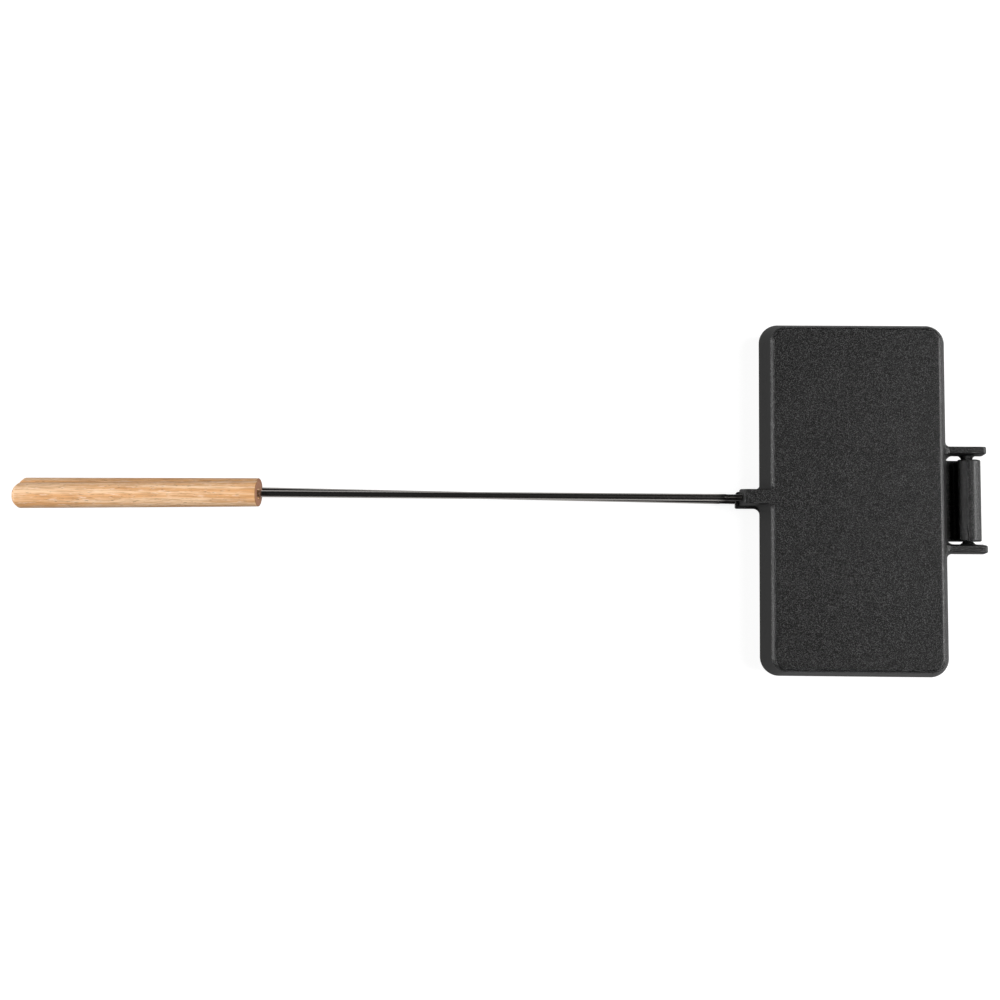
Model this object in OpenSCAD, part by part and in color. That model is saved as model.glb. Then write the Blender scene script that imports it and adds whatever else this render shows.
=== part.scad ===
// Double pie iron: two cast pans that close on each other, hooked together at one end,
// each on a long steel rod with a turned wooden handle.
// Frame: the bottom pan's flat outer face rests on z = 0 with the origin at its centre,
// +X points from the pans to the hinge, the rods and handles run towards -X.
// Sizes are in millimetres. The pose drawn is the closed one.

/* [Pans] */
// Length of a pan along the rods, at the parting line
pan_x = 134; // [120:0.5:150]
// Width of a pan across the rods, at the parting line
pan_y = 252.4; // [230:0.2:270]
// Depth of one half, from the parting plane to its outer face
half_depth = 19; // [19:0.5:24]
// Corner radius of a pan at the parting line
pan_corner = 13.5; // [11:0.5:16]
// Corner radius of the flat outer face
face_corner = 7.5; // [5:0.5:9]
// How far the flat face stands back from the parting line at the hinge and rod sides
face_inset_x = 9; // [7:0.5:11]
// How far the flat face stands back from the parting line at the two short sides
face_inset_y = 7; // [6:0.5:9]
// Radius between the walls and the flat face
face_edge = 3; // [2:0.5:4]
// Gap between the two rims when the iron is closed
rim_gap = 0.3; // [0.2:0.1:0.6]

/* [Cavities] */
// Width of the flat rim that the two halves meet on
rim_width = 5; // [4:0.5:6]
// Width of the bar between the two cavities, at the rim
divider_width = 8; // [6:0.5:10]
// Height of the rim above the divider's crest, which leaves room for the crust
divider_drop = 1; // [0.5:0.25:2]
// Thickness of the cast floor
floor_thickness = 4; // [3.5:0.5:5]
// How far a cavity's floor stands back from its mouth
cavity_inset = 7; // [6:0.5:8]
// Corner radius of a cavity at its mouth
cavity_corner = 10; // [8:0.5:12]
// Corner radius of a cavity's floor
cavity_floor_corner = 5; // [4:0.5:6]
// Radius between a cavity's walls and its floor
cavity_edge = 4; // [3:0.5:5]

/* [Rod lugs] */
// Width of a lug at the parting plane
lug_width = 12.4; // [11:0.2:14]
// Width of a lug at the flat face
lug_face_width = 10.1; // [9:0.1:11]
// Reach of the top lug beyond the rim
top_lug_reach = 14.3; // [12:0.1:17]
// Reach of the bottom lug beyond the rim
bottom_lug_reach = 17.1; // [12:0.1:19]
// How far the top lug stands off the centre line; its rod stays on that line
top_lug_offset = 0.55; // [-1:0.05:1]
// How far the bottom lug stands off the centre line, together with its rod
bottom_lug_offset = -1.4; // [-2:0.1:2]
// Slope of a lug's end, as the amount its top stands back
lug_end_draft = 1.7; // [0:0.1:2.5]
// Radius between the right side of a lug, seen from the handles, and the pan's wall
lug_fillet = 4.3; // [2:0.1:6]
// Radius between the left side of a lug and the pan's wall
lug_left_fillet = 2.6; // [2:0.1:6]

/* [Hinge] */
// Distance of the hinge axis from the rim
hinge_out = 14.8; // [14.8:0.1:17]
// How far the whole hinge stands off the centre line
hinge_offset = -0.6; // [-1.2:0.1:1.2]
// Diameter of the cast pin where the hook holds it
pin_d = 7.2; // [6:0.1:7.4]
// Diameter of the pin where it runs into the arms
pin_root_d = 10.4; // [9:0.1:11]
// Gap all round the pin inside the hook
pin_play = 0.3; // [0.2:0.05:0.4]
// Outer diameter of the hook
hook_d = 18.9; // [17:0.1:19]
// Length of the hook along the hinge axis
hook_length = 58.4; // [50:0.2:59]
// How far the hook's lip reaches back over the pin, from the hinge axis
lip_reach = 8.2; // [7:0.1:8.4]
// Distance from the hinge's middle to the middle of the left arm
left_arm_centre = 35.5; // [34.5:0.1:38]
// Distance from the hinge's middle to the middle of the right arm
right_arm_centre = 34.7; // [34.5:0.1:38]
// Thickness of an arm at the parting plane
arm_thickness = 7.2; // [5.6:0.1:7.4]
// Thickness of an arm along its upper edge
arm_edge_thickness = 4.8; // [3.5:0.1:5.4]
// Height of an arm above the hinge axis
arm_rise = 11; // [9:0.5:12]
// Depth of an arm's free end below the hinge axis
arm_drop = 5; // [4.5:0.5:6]
// Reach of an arm beyond the hinge axis
arm_reach = 11.4; // [11:0.1:12.5]
// Radius of an arm's upper corner at its free end
arm_corner = 3; // [2:0.5:5]
// Radius of the arm's underside, where it rounds up past the pin
arm_low_corner = 9; // [6:0.5:10]
// Radius between the pan's wall and the outside of an arm, and between it and the hook's web
arm_fillet = 3; // [2:0.5:3.5]
// Radius between the pan's wall and the facing sides of the arms and of the hook
slot_fillet = 4.5; // [2:0.5:5]

/* [Rods] */
// Diameter of a rod
rod_d = 5; // [4:0.5:6]
// Whole length of a rod
rod_length = 490; // [400:5:500]
// Length of rod screwed into its lug
rod_depth = 15; // [12:1:15]
// Length of thread left showing outside the lug
thread_showing = 11; // [0:1:15]
// Pitch of the thread
thread_pitch = 0.8; // [0.7:0.1:1]
// Turn of the top rod in plan, from a lug hole tapped slightly out of square
top_rod_turn = -0.05; // [-0.5:0.01:0.5]
// Turn of the bottom rod in plan, from a lug hole tapped further out of square
bottom_rod_turn = -0.82; // [-1:0.01:1]

/* [Handles] */
// Diameter of a handle
handle_d = 18.4; // [16:0.2:18.4]
// Length of a handle
handle_length = 176; // [150:1:190]
// Distance from the rim to the mouth of the top handle
top_handle_start = 359; // [330:1:370]
// Distance from the rim to the mouth of the bottom handle
bottom_handle_start = 364.3; // [330:0.1:370]
// Turn of the top handle in plan, from a bore that runs slightly off its centre
top_handle_turn = 0.8; // [-0.8:0.05:0.8]
// Turn of the bottom handle in plan
bottom_handle_turn = 0.25; // [-0.8:0.05:0.5]
// Length of the bevel at a handle's free end
bevel_length = 3.2; // [2.5:0.1:6]
// Depth of that bevel, measured across the handle
bevel_depth = 2.6; // [2.5:0.1:5.8]
// Radius that softens the two corners of that bevel
bevel_round = 2.5; // [1:0.5:4]
// Size of the broken edge at the handle's mouth
mouth_edge = 0.7; // [0.4:0.1:1.5]
// Diameter of the wider start of the bore
mouth_bore_d = 8; // [7:0.5:10]
// Depth of the wider start of the bore
mouth_bore_depth = 12; // [6:1:20]

/* [Hidden] */

rim_x = pan_x / 2;
rim_y = pan_y / 2;
rod_rise = half_depth / 2;
hinge_x = rim_x + hinge_out;
hinge_z = half_depth;
cavity_depth = half_depth - floor_thickness;
cavity_half_x = rim_x - rim_width;
cavity_half_y = (rim_y - rim_width - divider_width / 2) / 2;
cavity_centre_y = divider_width / 2 + cavity_half_y;
wall_lean = wall_angle(half_depth, face_inset_x, face_edge);
bore_r = pin_d / 2 + pin_play;
hook_r = hook_d / 2;
arm_centres = [left_arm_centre, right_arm_centre];
rod_end = rod_length - rod_depth;
bevel_angle = atan2(bevel_depth, bevel_length);

// Depth of a metric thread's groove as a share of its pitch
thread_depth_ratio = 0.61;
// Small overlap that fuses one solid with the next
bite = 1;
// Sides of the corners and edges of the drafted blocks, and of the true round faces
corner_sides = 56;
edge_sides = 24;
round_sides = 96;
// Steps in the arc that softens a corner of a turned profile
arc_steps = 6;

iron = [0.17, 0.17, 0.18];
steel = [0.36, 0.35, 0.34];
wood = [0.80, 0.62, 0.42];

// Lean from upright of a wall that runs straight from the rim to the round edge of a face
// that is inset from it
function wall_angle(depth, inset, edge) =
    let (reach = norm([inset, depth - edge]))
    90 - atan2(depth - edge, inset) - asin(edge / reach);

// Points of an arc about [x, y]
function arc(x, y, r, from, to) =
    [for (i = [0:arc_steps])
        let (a = from + (to - from) * i / arc_steps)
        [x + r * cos(a), y + r * sin(a)]];

// A ring of round bar, lying flat
module ring(ring_r, bar_r) {
    rotate_extrude($fn = corner_sides)
        translate([ring_r, 0])
            circle(r = bar_r, $fn = edge_sides);
}

module at_corners(half_x, half_y) {
    for (side_x = [-1, 1], side_y = [-1, 1])
        translate([side_x * half_x, side_y * half_y, 0])
            children();
}

// A block with a round-cornered outline at z = 0 that narrows to a flat face at z = depth,
// drawn round a ring in each corner of the face, which gives the face its round edge
module drafted_block(half_x, half_y, corner, face_r, depth, inset_x, inset_y, edge) {
    hull() {
        translate([0, 0, -bite])
            at_corners(half_x - corner, half_y - corner)
                cylinder(r = corner, h = bite, $fn = corner_sides);
        translate([0, 0, depth - edge])
            at_corners(half_x - inset_x - face_r, half_y - inset_y - face_r)
                ring(face_r, edge);
    }
}

// One half seen from its parting plane at z = 0, with its outer face at z = half_depth
module pan_block() {
    drafted_block(rim_x, rim_y, pan_corner, face_corner, half_depth, face_inset_x, face_inset_y, face_edge);
}

// The two hollows of a half, the strip that lowers the divider, and half of the rim gap
module pan_hollows() {
    for (side = [-1, 1])
        translate([0, side * cavity_centre_y, 0])
            drafted_block(cavity_half_x, cavity_half_y, cavity_corner, cavity_floor_corner,
                          cavity_depth, cavity_inset, cavity_inset, cavity_edge);
    translate([-cavity_half_x + cavity_corner, -divider_width / 2 - cavity_corner, -bite])
        cube([2 * (cavity_half_x - cavity_corner), divider_width + 2 * cavity_corner, divider_drop + bite]);
    translate([-pan_x, -pan_y, -2 * bite])
        cube([pan_x + rim_x + bite, 2 * pan_y, 2 * bite + rim_gap / 2]);
}

// The shape between a square corner at the origin and the arc of radius r that rounds it,
// which lies towards -x and +y
module corner_web(r) {
    difference() {
        translate([-r, -bite])
            square([r + bite, r + bite]);
        translate([-r, r])
            circle(r = r, $fn = round_sides);
    }
}

// Fills the inner corner where a rib meets the rod-side wall, leaning with both of them
module root_fillet(r, height, side_lean) {
    rotate([side_lean, wall_lean, 0])
        translate([0, 0, -bite])
            linear_extrude(height + bite)
                corner_web(r);
}

// A drafted lug on the rod side of a half, flush with the flat face
module lug(reach) {
    side_lean = atan2((lug_width - lug_face_width) / 2, half_depth);
    translate([-rim_x, 0, 0]) {
        intersection() {
            rotate([90, 0, 90])
                linear_extrude(4 * reach, center = true)
                    polygon([[-lug_width / 2, 0], [lug_width / 2, 0],
                             [lug_face_width / 2, half_depth], [-lug_face_width / 2, half_depth]]);
            rotate([90, 0, 0])
                linear_extrude(2 * lug_width, center = true)
                    polygon([[-reach, 0], [rim_width + face_inset_x, 0],
                             [rim_width + face_inset_x, half_depth], [lug_end_draft - reach, half_depth]]);
        }
        for (side = [0, 1])
            mirror([0, side, 0])
                translate([0, lug_width / 2, 0])
                    root_fillet(side == 0 ? lug_left_fillet : lug_fillet, half_depth - face_edge, side_lean);
    }
}

// Carries its children to a rod's start: z runs out of the lug towards the handle
module along_rod(reach, offset, level, turn) {
    translate([-rim_x - reach, offset, level])
        rotate([0, 0, turn])
            rotate([0, -90, 0])
                children();
}

module along_top_rod() {
    along_rod(top_lug_reach, 0, half_depth + rod_rise, top_rod_turn)
        children();
}

module along_bottom_rod() {
    along_rod(bottom_lug_reach, bottom_lug_offset, half_depth - rod_rise, bottom_rod_turn)
        children();
}

// The tapped hole in a lug
module rod_hole() {
    translate([0, 0, -rod_depth])
        cylinder(d = rod_d, h = rod_depth + lug_end_draft + bite, $fn = round_sides);
}

// Side view of a hinge arm about the hinge axis: x outwards, y up
module arm_side() {
    difference() {
        translate([-arm_reach, -arm_drop])
            square([2 * arm_reach, arm_rise + arm_drop]);
        for (side = [0, 1])
            mirror([side, 0])
                translate([arm_reach, -arm_drop])
                    corner_web(arm_low_corner);
        translate([arm_reach, arm_rise])
            mirror([0, 1])
                corner_web(arm_corner);
    }
    translate([-hinge_out - face_inset_x, rim_gap])
        square([hinge_out + face_inset_x, arm_rise - rim_gap]);
}

// An arm about its own middle, drafted both ways from the parting plane, with the hook
// towards -y
module arm() {
    arm_lean = atan2((arm_thickness - arm_edge_thickness) / 2, arm_rise);
    drop_thickness = arm_thickness - 2 * arm_drop * tan(arm_lean);
    translate([hinge_x, 0, 0])
        intersection() {
            rotate([90, 0, 0])
                linear_extrude(2 * arm_thickness, center = true)
                    arm_side();
            rotate([90, 0, 90])
                linear_extrude(4 * (hinge_out + face_inset_x), center = true)
                    polygon([[-drop_thickness / 2, -arm_drop], [drop_thickness / 2, -arm_drop],
                             [arm_thickness / 2, 0], [arm_edge_thickness / 2, arm_rise],
                             [-arm_edge_thickness / 2, arm_rise], [-arm_thickness / 2, 0]]);
        }
    for (side = [0, 1])
        mirror([0, side, 0])
            translate([rim_x, arm_thickness / 2, 0])
                mirror([1, 0, 0])
                    intersection() {
                        root_fillet(side == 0 ? arm_fillet : slot_fillet, 2 * arm_rise, arm_lean);
                        translate([-rim_width, -arm_thickness / 2, rim_gap])
                            cube([2 * rim_width + face_inset_x, arm_thickness + slot_fillet, arm_rise - rim_gap]);
                    }
}

// The pin that is cast in one with the arms and thickens where it meets them
module pin() {
    neck_start = hook_length / 2 + pin_play;
    translate([hinge_x, 0, 0])
        for (side = [0, 1]) {
            neck_end = arm_centres[side] - arm_thickness / 2;
            mirror([0, side, 0])
                rotate([-90, 0, 0]) {
                    translate([0, 0, -bite])
                        cylinder(d = pin_d, h = neck_start + 2 * bite, $fn = round_sides);
                    translate([0, 0, neck_start])
                        cylinder(d1 = pin_d, d2 = pin_root_d, h = neck_end - neck_start, $fn = round_sides);
                    translate([0, 0, neck_end])
                        cylinder(d = pin_root_d, h = bite, $fn = round_sides);
                }
        }
}

// Side view of the hook about the hinge axis, with its web to the bottom pan's wall
module hook_side() {
    web_thickness = hook_r - bore_r;
    wall_x = -hinge_out - bore_r * tan(wall_lean);
    difference() {
        union() {
            circle(r = hook_r, $fn = round_sides);
            translate([-hinge_out - face_inset_x, -hook_r])
                square([hinge_out + face_inset_x, web_thickness]);
        }
        circle(r = bore_r, $fn = round_sides);
        translate([-hook_d - hinge_out, -bore_r])
            square([hook_d + hinge_out, 2 * bore_r]);
        translate([-hook_d, -bore_r])
            square([hook_d - lip_reach, 2 * hook_r]);
    }
    translate([wall_x, -bore_r])
        difference() {
            translate([-bite, -bite])
                square(arm_fillet + bite);
            translate([arm_fillet, arm_fillet])
                circle(r = arm_fillet, $fn = round_sides);
        }
}

// The hook, with the fillets at the two ends of its web
module hook() {
    translate([hinge_x, 0, 0])
        rotate([90, 0, 0])
            linear_extrude(hook_length, center = true)
                hook_side();
    for (side = [0, 1])
        mirror([0, side, 0])
            translate([rim_x, hook_length / 2, 0])
                mirror([1, 0, 0])
                    intersection() {
                        mirror([0, 0, 1])
                            root_fillet(slot_fillet, 2 * hook_r, 0);
                        translate([-rim_width, -slot_fillet, -hook_r])
                            cube([2 * rim_width + face_inset_x, 2 * slot_fillet, hook_r - bore_r]);
                    }
}

module top_pan() {
    color(iron)
        difference() {
            translate([0, 0, half_depth])
                difference() {
                    union() {
                        pan_block();
                        translate([0, top_lug_offset, 0])
                            lug(top_lug_reach);
                        translate([0, hinge_offset, 0]) {
                            pin();
                            for (side = [0, 1])
                                mirror([0, side, 0])
                                    translate([0, arm_centres[side], 0])
                                        arm();
                        }
                    }
                    pan_hollows();
                }
            along_top_rod()
                rod_hole();
        }
}

module bottom_pan() {
    color(iron)
        difference() {
            union() {
                translate([0, 0, half_depth])
                    mirror([0, 0, 1]) {
                        pan_block();
                        translate([0, bottom_lug_offset, 0])
                            lug(bottom_lug_reach);
                    }
                translate([0, hinge_offset, hinge_z])
                    hook();
            }
            translate([0, 0, half_depth])
                mirror([0, 0, 1])
                    pan_hollows();
            along_bottom_rod()
                rod_hole();
        }
}

// A round bar. The thread that shows outside the lug is drawn as rings at its true pitch,
// and the thread inside the lug as a plain bar that fills the tapped hole.
module rod() {
    r = rod_d / 2;
    rings = floor(thread_showing / thread_pitch);
    groove_r = r - thread_depth_ratio * thread_pitch;
    rotate_extrude($fn = round_sides)
        polygon(concat([[0, -rod_depth], [r, -rod_depth]],
                       [for (k = [rings:-1:1], half = [0, 0.5])
                           [half == 0 ? r : groove_r, thread_showing - (k - half) * thread_pitch]],
                       [[r, thread_showing], [r, rod_end], [0, rod_end]]));
}

module top_rod() {
    color(steel)
        along_top_rod()
            rod();
}

module bottom_rod() {
    color(steel)
        along_bottom_rod()
            rod();
}

// A turned handle with its mouth at z = 0 and its bevelled free end at z = handle_length
module handle_turning() {
    r = handle_d / 2;
    wall_end = handle_length - bevel_length - bevel_round * tan(bevel_angle / 2);
    flat_r = r - bevel_depth - bevel_round * tan((90 - bevel_angle) / 2);
    rotate_extrude($fn = round_sides)
        polygon(concat([[0, 0], [r - mouth_edge, 0], [r, mouth_edge]],
                       arc(r - bevel_round, wall_end, bevel_round, 0, bevel_angle),
                       arc(flat_r, handle_length - bevel_round, bevel_round, bevel_angle, 90),
                       [[0, handle_length]]));
}

// The bore follows the rod, while the handle round it turns about its mouth
module handle(start, turn) {
    translate([0, 0, start])
        difference() {
            rotate([turn, 0, 0])
                handle_turning();
            cylinder(d = rod_d, h = rod_end - start, $fn = round_sides);
            translate([0, 0, -bite])
                cylinder(d = mouth_bore_d, h = mouth_bore_depth + bite, $fn = round_sides);
        }
}

module top_handle() {
    color(wood)
        along_top_rod()
            handle(top_handle_start - top_lug_reach, top_handle_turn - top_rod_turn);
}

module bottom_handle() {
    color(wood)
        along_bottom_rod()
            handle(bottom_handle_start - bottom_lug_reach, bottom_handle_turn - bottom_rod_turn);
}

top_pan();
bottom_pan();
top_rod();
bottom_rod();
top_handle();
bottom_handle();
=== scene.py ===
"""Looks of a double pie iron: two hooked cast pans on long rods with turned wooden handles.

Sizes of the iron are in millimetres and become metres where a mesh is made; the studio's are in
metres. A pan half is described by a distance field, as a pattern maker would build it up: a
drafted block, lug, arms or hook joined with fillets, then the hollows cut out and every edge
broken. Rods and handles are grown by Geometry Nodes trees.
"""

import logging
import math
from dataclasses import dataclass
from enum import Enum
from typing import Any, NamedTuple, Optional

import bpy
import numpy as np
from mathutils import Matrix, Vector


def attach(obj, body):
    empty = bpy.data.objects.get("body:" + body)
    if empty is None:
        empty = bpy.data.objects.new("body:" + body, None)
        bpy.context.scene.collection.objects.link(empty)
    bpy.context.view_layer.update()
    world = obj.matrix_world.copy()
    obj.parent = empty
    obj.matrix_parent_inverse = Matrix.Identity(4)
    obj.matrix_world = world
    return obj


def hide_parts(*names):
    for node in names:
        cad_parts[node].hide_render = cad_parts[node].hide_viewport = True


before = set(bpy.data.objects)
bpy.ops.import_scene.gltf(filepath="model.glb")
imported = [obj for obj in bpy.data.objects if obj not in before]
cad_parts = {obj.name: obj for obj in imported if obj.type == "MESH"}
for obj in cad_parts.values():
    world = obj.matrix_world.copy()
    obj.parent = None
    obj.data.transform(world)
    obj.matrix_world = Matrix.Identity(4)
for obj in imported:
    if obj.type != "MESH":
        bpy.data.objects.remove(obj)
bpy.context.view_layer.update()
LOG = logging.getLogger("pie_iron")

MM = 0.001
RIM_X, RIM_Y, DEPTH = 67.0, 126.2, 19.0  # half the rim's length and width, and a pan's depth
RIM_GAP = 0.3  # between the closed rims
HINGE_X, HINGE_Y = 81.8, -0.6
HINGE_ROOT = 20.0  # how far the arms and the hook run back from the hinge into the block
ROD_RISE = 9.5  # from the parting plane to a rod's axis
ROD_DEPTH = 15.0  # how far a rod is screwed into its lug
ROD_END = 475.0  # from the lug's end to the rod's end inside its handle
EDGE_RUN, FILLET_RUN = 6.0, 3.0  # lengths over which one edge or fillet grows into the next
TINY = 1e-9  # keeps a division off zero


class Half(Enum):
    """Which half of the iron a piece belongs to: its body, and the way its depth runs."""

    TOP = ("top_half", 1.0)
    BOTTOM = ("bottom_half", -1.0)

    @property
    def body(self) -> str:
        """Name of the moving body."""
        return self.value[0]

    @property
    def up(self) -> float:
        """Sign of world z along the half's own depth."""
        return self.value[1]


@dataclass(frozen=True)
class RodLine:
    """The line a rod takes out of its lug: local z runs from the lug towards the handle."""

    half: Half
    lug_reach: float
    offset: float
    turn: float

    @property
    def start(self) -> float:
        """Place of the lug's end along the rods."""
        return -RIM_X - self.lug_reach

    def matrix(self) -> Matrix:
        """Place of the lug's end, with z along the rod."""
        start = Vector((self.start, self.offset, DEPTH + self.half.up * ROD_RISE))
        return (Matrix.Translation(start) @ Matrix.Rotation(math.radians(self.turn), 4, "Z")
                @ Matrix.Rotation(math.radians(-90), 4, "Y"))


def linear(code: str) -> tuple[float, float, float, float]:
    """Turn an sRGB hex colour into linear light.

    Args:
        code: A # and six hex digits.

    Returns:
        Linear red, green, blue and an alpha of 1.
    """
    parts = [int(code[i:i + 2], 16) / 255 for i in (1, 3, 5)]
    red, green, blue = [c / 12.92 if c <= 0.04045 else ((c + 0.055) / 1.055) ** 2.4 for c in parts]
    return red, green, blue, 1.0


def feed(tree: bpy.types.NodeTree, node: bpy.types.Node, sockets: dict[Any, Any]) -> None:
    """Join or set some of a node's inputs.

    Args:
        tree: The tree that holds the node.
        node: The node.
        sockets: For an input's name or number, the output that feeds it, the node whose first
            output does, or its plain value.
    """
    for key, value in sockets.items():
        if isinstance(value, bpy.types.Node):
            value = value.outputs[0]
        if isinstance(value, bpy.types.NodeSocket):
            tree.links.new(value, node.inputs[key])
        else:
            node.inputs[key].default_value = value


def add_node(tree: bpy.types.NodeTree, kind: str, sockets: Optional[dict[Any, Any]] = None,
             **settings: Any) -> bpy.types.Node:
    """Add a node, set it up and join it.

    Args:
        tree: The tree that gets the node.
        kind: Blender's name of the node type.
        sockets: What feeds its inputs, as feed() takes it.
        **settings: The node's own properties.

    Returns:
        The new node.
    """
    node = tree.nodes.new(kind)
    for name, value in settings.items():
        setattr(node, name, value)
    feed(tree, node, sockets or {})
    return node


def blend_colours(tree: bpy.types.NodeTree, share: Any, first: Any,
                  second: Any) -> bpy.types.NodeSocket:
    """Blend two colours, each an sRGB hex code or a colour output.

    Args:
        tree: The material's tree.
        share: Share of the second colour, 0 to 1.
        first: The first colour.
        second: The second colour.

    Returns:
        The blended colour's output.
    """
    first, second = [linear(c) if isinstance(c, str) else c for c in (first, second)]
    return add_node(tree, "ShaderNodeMix", {0: share, 6: first, 7: second},
                    data_type="RGBA").outputs[2]


def new_material(name: str) -> tuple[bpy.types.Material, bpy.types.NodeTree]:
    """Start a procedural material.

    Args:
        name: The material's name.

    Returns:
        The material and its empty tree.
    """
    material = bpy.data.materials.new(name)
    material.use_nodes = True
    material.node_tree.nodes.clear()
    return material, material.node_tree


# ------------------------------------------------------------------------------ finishes

@dataclass(frozen=True)
class SeasonedCastIron:
    """Sand-cast grey iron with black seasoning baked on.

    The sand leaves a pebbled skin whose crests glint on dark ground. Real grains are 0.3 mm;
    they are drawn at 0.54 mm, or they would blur into an even grey at this distance.
    Rounded edges are rubbed smooth, and the leaning walls, which slid out of the mould, are dull.
    Face, edge and wall are told apart by the upright part of the normal.
    """

    hollow: str = "#040404"
    crest: str = "#2c2c2c"
    wall: str = "#262626"
    grain: float = 0.54
    grain_height: float = 0.10
    grain_span: tuple[float, float] = (0.45, 0.70)
    face_span: tuple[float, float] = (0.95, 0.99)
    wall_span: tuple[float, float] = (0.55, 0.40)
    swell: float = 14.0
    swell_span: tuple[float, float] = (0.3, 0.7)
    face_roughness: tuple[float, float] = (0.44, 0.52)
    edge_roughness: float = 0.24
    wall_roughness: float = 0.5
    dull: float = 0.13
    polish: float = 0.62
    rubbed_gain: float = 2.6
    wall_polish: float = 0.15
    wall_relief: float = 0.15

    def material(self) -> bpy.types.Material:
        """Build the finish.

        Returns:
            The material of both pans.
        """
        made, tree = new_material("seasoned_sand_cast_iron")
        own = add_node(tree, "ShaderNodeTexCoord").outputs
        place, normal = own["Object"], own["Normal"]
        pebbles = add_node(tree, "ShaderNodeTexNoise", {
            "Vector": place, "Scale": 1 / (self.grain * MM), "Detail": 2.0, "Roughness": 0.55})
        height = add_node(tree, "ShaderNodeMapRange", {
            "Value": pebbles, "From Min": self.grain_span[0], "From Max": self.grain_span[1]},
            interpolation_type="SMOOTHSTEP")
        facing = add_node(tree, "ShaderNodeSeparateXYZ", {0: normal}).outputs["Z"]
        facing = add_node(tree, "ShaderNodeMath", {0: facing}, operation="ABSOLUTE")
        on_face, on_wall = [add_node(tree, "ShaderNodeMapRange", {
            "Value": facing, "From Min": span[0], "From Max": span[1]})
            for span in (self.face_span, self.wall_span)]
        colour = blend_colours(tree, height, self.hollow, self.crest)
        colour = blend_colours(tree, on_wall, colour, self.wall)
        glint = add_node(tree, "ShaderNodeMapRange", {
            "Value": height, "To Min": self.dull, "To Max": self.polish})
        gain = add_node(tree, "ShaderNodeMapRange", {
            "Value": on_face, "To Min": self.rubbed_gain, "To Max": 1.0})
        glint = add_node(tree, "ShaderNodeMath", {0: glint, 1: gain}, operation="MULTIPLY")
        swells = add_node(tree, "ShaderNodeTexNoise", {
            "Vector": place, "Scale": 1 / (self.swell * MM), "Detail": 3.0})
        roughness = add_node(tree, "ShaderNodeMapRange", {
            "Value": swells, "From Min": self.swell_span[0], "From Max": self.swell_span[1],
            "To Min": self.face_roughness[0], "To Max": self.face_roughness[1]})
        roughness = add_node(tree, "ShaderNodeMix", {
            0: on_face, 2: self.edge_roughness, 3: roughness}, data_type="FLOAT")
        glint, roughness = [add_node(tree, "ShaderNodeMix", {0: on_wall, 2: value, 3: walls},
                                     data_type="FLOAT")
                            for value, walls in ((glint, self.wall_polish),
                                                 (roughness, self.wall_roughness))]
        depth = add_node(tree, "ShaderNodeMapRange", {
            "Value": on_wall, "To Min": 1.0, "To Max": self.wall_relief})
        bump = add_node(tree, "ShaderNodeBump", {
            "Height": height, "Strength": depth, "Distance": self.grain_height * MM})
        skin = add_node(tree, "ShaderNodeBsdfPrincipled", {
            "Base Color": colour, "Roughness": roughness, "IOR": 1.5,
            "Specular IOR Level": glint, "Normal": bump})
        add_node(tree, "ShaderNodeOutputMaterial", {"Surface": skin})
        return made


@dataclass(frozen=True)
class Fibres:
    """Streaks of noise that run along the rods: lines in drawn steel, fibres in wood."""

    width: float
    length: float
    span: tuple[float, float] = (0.0, 1.0)
    strength: float = 1.0
    detail: float = 2.0

    def share(self, tree: bpy.types.NodeTree, place: bpy.types.NodeSocket) -> bpy.types.Node:
        """Draw the streaks.

        Args:
            tree: The material's tree.
            place: The object's coordinates in metres.

        Returns:
            The node that gives the streaks' share of the surface, 0 to strength.
        """
        noise = self.noise(tree, place)
        return add_node(tree, "ShaderNodeMapRange", {
            "Value": noise, "From Min": self.span[0], "From Max": self.span[1],
            "To Max": self.strength}, interpolation_type="SMOOTHSTEP")

    def noise(self, tree: bpy.types.NodeTree, place: bpy.types.NodeSocket) -> bpy.types.Node:
        """Draw the bare noise, long in x and narrow across.

        Args:
            tree: The material's tree.
            place: The object's coordinates in metres.

        Returns:
            The noise node.
        """
        scale = (1 / (self.length * MM), 1 / (self.width * MM), 1 / (self.width * MM))
        drawn = add_node(tree, "ShaderNodeMapping", {"Vector": place, "Scale": scale})
        return add_node(tree, "ShaderNodeTexNoise", {
            "Vector": drawn, "Scale": 1.0, "Detail": self.detail})


@dataclass(frozen=True)
class DrawnSteel:
    """Cold-drawn steel bar, grey and bright-lined, with thread oil and painted shade near the lugs.
    """

    dark: str = "#aba7a3"
    light: str = "#c4c0bc"
    lug_shade_and_oil: str = "#454240"
    lines: Fibres = Fibres(0.5, 40.0, detail=3.0)
    line_depth: float = 0.03
    roughness: float = 0.2
    lug_shade_and_oil_span: tuple[float, float] = (-99.0, -92.0)

    def material(self) -> bpy.types.Material:
        """Build the finish.

        Returns:
            The material of both rods.
        """
        made, tree = new_material("drawn_steel_finish")
        place = add_node(tree, "ShaderNodeTexCoord").outputs["Object"]
        lines = self.lines.noise(tree, place)
        colour = blend_colours(tree, lines, self.dark, self.light)
        towards_pans = add_node(tree, "ShaderNodeSeparateXYZ", {0: place}).outputs["X"]
        # Painted shade: the bar darkens towards the lug, partly for oil on the thread, partly for
        # the lug's shade and dark reflection.
        shaded_and_oiled = add_node(tree, "ShaderNodeMapRange", {
            "Value": towards_pans, "From Min": self.lug_shade_and_oil_span[0] * MM,
            "From Max": self.lug_shade_and_oil_span[1] * MM})
        colour = blend_colours(tree, shaded_and_oiled, colour, self.lug_shade_and_oil)
        bump = add_node(tree, "ShaderNodeBump", {
            "Height": lines, "Strength": 0.5, "Distance": self.line_depth * MM})
        skin = add_node(tree, "ShaderNodeBsdfPrincipled", {
            "Base Color": colour, "Metallic": 1.0, "Roughness": self.roughness, "Normal": bump})
        add_node(tree, "ShaderNodeOutputMaterial", {"Surface": skin})
        return made


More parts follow.
